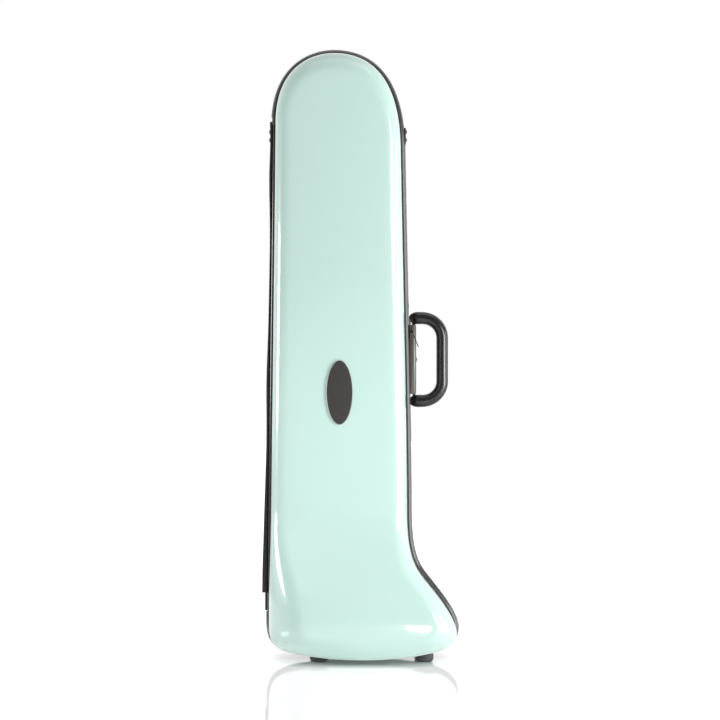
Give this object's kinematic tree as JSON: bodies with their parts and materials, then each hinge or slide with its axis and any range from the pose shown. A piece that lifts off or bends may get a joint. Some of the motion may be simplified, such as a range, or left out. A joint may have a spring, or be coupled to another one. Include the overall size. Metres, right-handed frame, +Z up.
{
  "type": "trombone case",
  "caption": "Upright hard-shell case for a large-bell trombone, with a glossy pale mint front, dark back, zipped rim, side handle, strap rings and rubber feet.",
  "frame": {"origin": "under the middle of the part's box, on the floor that the feet stand on", "axes": "+X towards the handle, +Y from the mint front to the dark back, +Z up along the case"},
  "size_m": [0.3052, 0.2656, 0.9436],
  "materials": {
    "mint_shell": "high gloss, pale mint",
    "dark_cover": "matte charcoal, fine texture",
    "plush": "grey plush over foam",
    "rim_rubber": "satin, rounded edge",
    "zip_fabric": "woven tape",
    "zip_coil": "nylon coil",
    "badge_plastic": "pebbled, bare",
    "base_plastic": "satin",
    "grip_plastic": "black satin",
    "foot_rubber": "matte",
    "dark_steel": "blackened, satin",
    "webbing": "woven webbing"
  },
  "bodies": {
    "back_half": {"back_shell": "dark_cover", "back_lining": "plush", "back_rim_seal": "rim_rubber", "back_zip_tape": "zip_fabric", "back_zip_coil": "zip_coil", "hinge_strip": "zip_fabric", "upper_zip_end": "zip_fabric", "lower_zip_end": "zip_fabric", "handle_plate": "base_plastic", "handle_bar": "base_plastic", "lower_handle_pin": "dark_steel", "upper_handle_pin": "dark_steel", "lower_plate_rivet": "dark_steel", "upper_plate_rivet": "dark_steel", "bar_rivet": "dark_steel", "back_left_foot": "foot_rubber", "back_left_foot_screw": "dark_steel", "back_right_foot": "foot_rubber", "back_right_foot_screw": "dark_steel", "upper_right_ring_keeper": "dark_steel", "upper_right_ring_rivet": "dark_steel", "upper_left_ring_keeper": "dark_steel", "upper_left_ring_rivet": "dark_steel", "lower_right_ring_keeper": "dark_steel", "lower_right_ring_rivet": "dark_steel", "lower_left_ring_keeper": "dark_steel", "lower_left_ring_rivet": "dark_steel", "bell_cradle": "plush", "tuning_slide_cradle": "plush", "bell_strap": "webbing", "accessory_box": "plush"},
    "front_half": {"front_shell": "mint_shell", "front_lining": "plush", "front_rim_seal": "rim_rubber", "front_zip_tape": "zip_fabric", "front_zip_coil": "zip_coil", "badge": "badge_plastic", "front_left_foot": "foot_rubber", "front_left_foot_screw": "dark_steel", "front_right_foot": "foot_rubber", "front_right_foot_screw": "dark_steel", "lower_slide_saddle": "plush", "upper_slide_saddle": "plush", "lower_slide_strap": "webbing", "upper_slide_strap": "webbing"},
    "handle": {"handle_loop": "grip_plastic"},
    "upper_slider": {"upper_zip_slider": "dark_steel"},
    "lower_slider": {"lower_zip_slider": "dark_steel"},
    "upper_pull": {"upper_zip_pull": "dark_steel"},
    "lower_pull": {"lower_zip_pull": "dark_steel"},
    "upper_right_strap_ring": {"upper_right_ring": "dark_steel"},
    "upper_left_strap_ring": {"upper_left_ring": "dark_steel"},
    "lower_right_strap_ring": {"lower_right_ring": "dark_steel"},
    "lower_left_strap_ring": {"lower_left_ring": "dark_steel"},
    "accessory_cover": {"accessory_lid": "plush"}
  },
  "joints": [
    {"name": "lid_hinge", "type": "hinge", "parent": "back_half", "child": "front_half", "pos_m": [-0.14257, 0.00699, 0.465], "axis": [-0.0104, 0, -0.9999], "range_deg": [0, 120], "deforming": ["hinge_strip"]},
    {"name": "handle_swing", "type": "hinge", "parent": "back_half", "child": "handle", "pos_m": [0.083, 0.0355, 0.4636], "axis": [0, 0, 1], "range_deg": [-60, 60]},
    {"name": "upper_slider_travel", "type": "slide", "parent": "back_half", "child": "upper_slider", "axis": [-0.0208, 0, 0.9998], "range_m": [0, 0.26]},
    {"name": "lower_slider_travel", "type": "slide", "parent": "back_half", "child": "lower_slider", "axis": [0.019, 0, -0.9998], "range_m": [0, 0.15]},
    {"name": "upper_pull_swing", "type": "hinge", "parent": "upper_slider", "child": "upper_pull", "pos_m": [0.0794, 0.00699, 0.5235], "axis": [0, -1, 0], "range_deg": [0, 150]},
    {"name": "lower_pull_swing", "type": "hinge", "parent": "lower_slider", "child": "lower_pull", "pos_m": [0.07976, 0.00699, 0.5069], "axis": [0, -1, 0], "range_deg": [-20, 130]},
    {"name": "upper_right_ring_swing", "type": "hinge", "parent": "back_half", "child": "upper_right_strap_ring", "pos_m": [0.0687, 0.02349, 0.811], "axis": [0, 0, -1], "range_deg": [0, 100]},
    {"name": "upper_left_ring_swing", "type": "hinge", "parent": "back_half", "child": "upper_left_strap_ring", "pos_m": [-0.13935, 0.02349, 0.811], "axis": [0, 0, 1], "range_deg": [0, 100]},
    {"name": "lower_right_ring_swing", "type": "hinge", "parent": "back_half", "child": "lower_right_strap_ring", "pos_m": [0.01573, 0.08137, 0.35], "axis": [1, 0, 0], "range_deg": [0, 150]},
    {"name": "lower_left_ring_swing", "type": "hinge", "parent": "back_half", "child": "lower_left_strap_ring", "pos_m": [-0.08427, 0.08137, 0.35], "axis": [1, 0, 0], "range_deg": [0, 150]},
    {"name": "accessory_lid_hinge", "type": "hinge", "parent": "back_half", "child": "accessory_cover", "pos_m": [-0.1183, 0.0167, 0.401], "axis": [0, 0, -1], "range_deg": [0, 80]}
  ]
}
